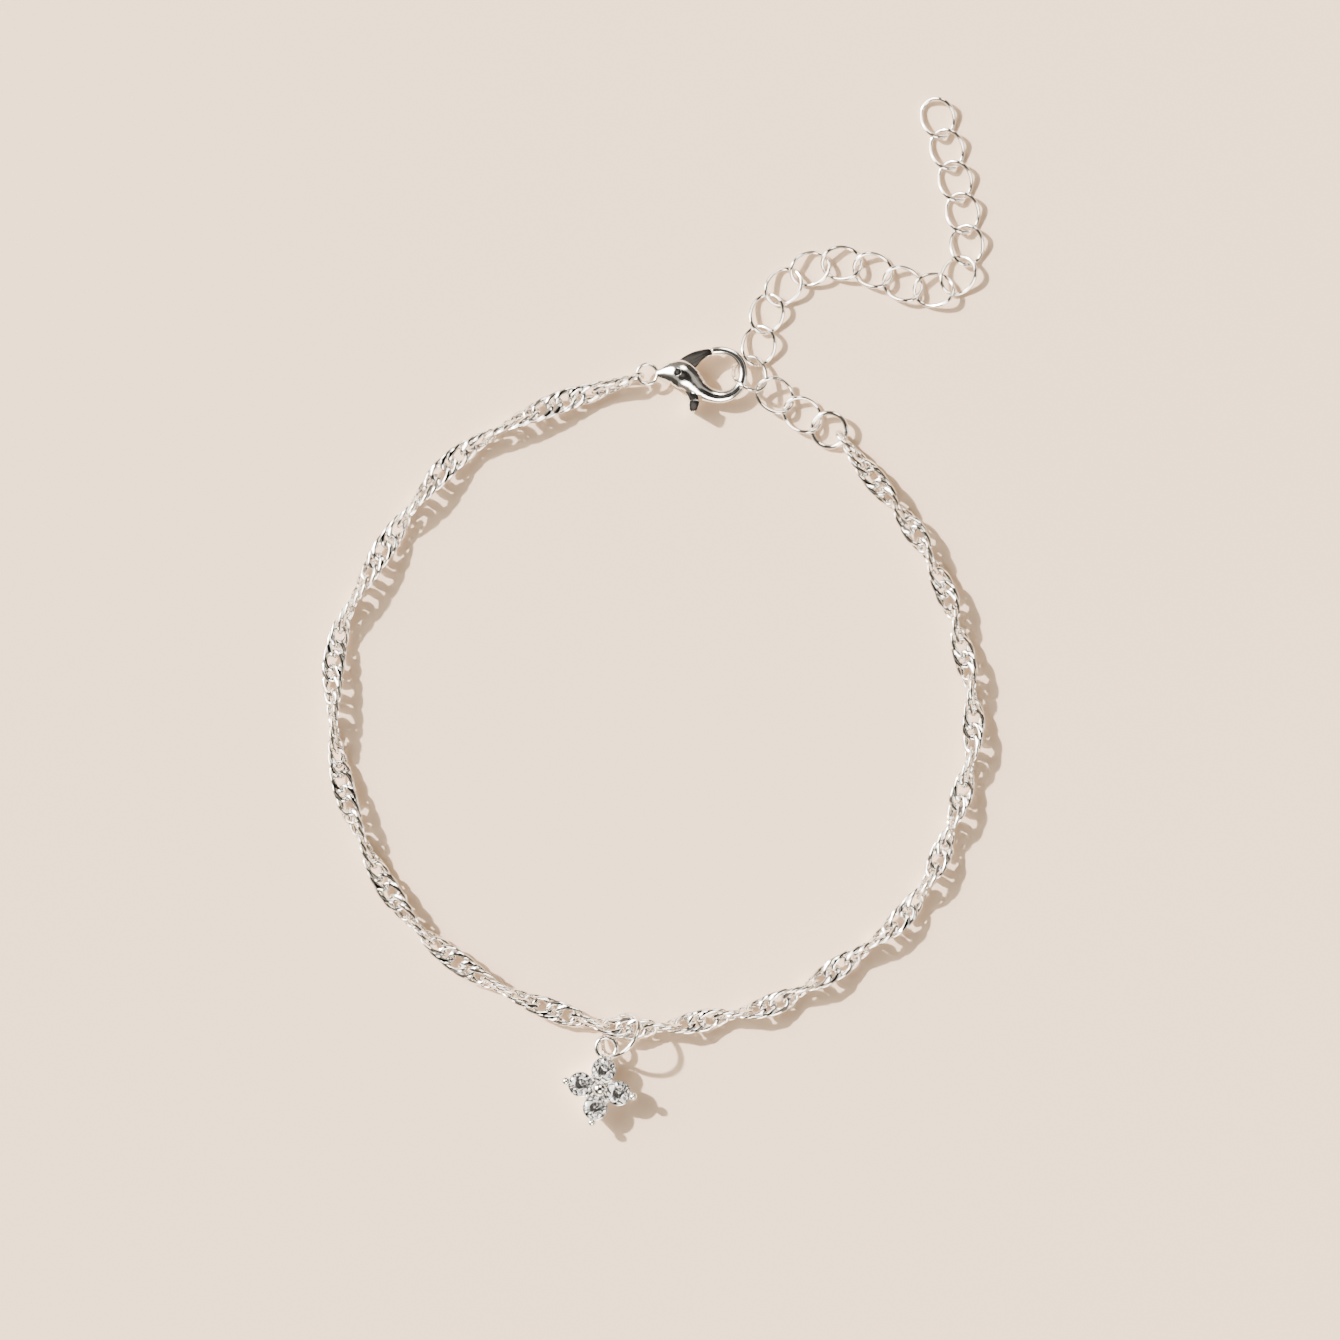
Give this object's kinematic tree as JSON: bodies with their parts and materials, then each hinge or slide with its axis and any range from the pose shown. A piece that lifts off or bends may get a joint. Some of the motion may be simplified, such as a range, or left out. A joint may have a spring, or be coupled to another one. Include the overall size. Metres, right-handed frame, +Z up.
{
  "type": "charm bracelet",
  "caption": "Closed chain bracelet in bright silver plate with lobster clasp, link extender and a four-petal flower charm set with round cut stones.",
  "frame": {"origin": "bottom centre of the bounding box, on the surface the bracelet lies on", "axes": "+Z up from the surface, +Y from the charm towards the clasp and the extender's free end, +X to the side the extender is on"},
  "size_m": [0.0602, 0.0935, 0.004],
  "materials": {
    "silver_plate": "polished",
    "clear_crystal": "polished"
  },
  "bodies": {
    "bracelet": {"main_chain_left": "silver_plate", "main_chain_right": "silver_plate", "chain_end_link_left": "silver_plate", "chain_end_link_right": "silver_plate", "end_ring": "silver_plate", "extender_link_01": "silver_plate", "extender_link_02": "silver_plate", "extender_link_03": "silver_plate", "extender_link_04": "silver_plate", "extender_link_05": "silver_plate", "extender_link_06": "silver_plate", "extender_link_07": "silver_plate", "extender_link_08": "silver_plate", "extender_link_09": "silver_plate", "extender_link_10": "silver_plate", "extender_link_11": "silver_plate", "extender_link_12": "silver_plate", "extender_link_13": "silver_plate", "extender_link_14": "silver_plate", "extender_link_15": "silver_plate", "extender_link_16": "silver_plate", "extender_link_17": "silver_plate", "clasp_body": "silver_plate", "clasp_pin": "silver_plate", "charm_ring": "silver_plate", "charm_setting": "silver_plate", "stone_top": "clear_crystal", "stone_left": "clear_crystal", "stone_right": "clear_crystal", "stone_bottom": "clear_crystal"},
    "lever": {"clasp_lever": "silver_plate"}
  },
  "joints": [
    {"name": "clasp_gate", "type": "hinge", "parent": "bracelet", "child": "lever", "pos_m": [0.00218, 0.02168, 0.00122], "axis": [0, 0, -1], "range_deg": [0, 25], "stiffness_Nm_per_rad": 0.005}
  ]
}
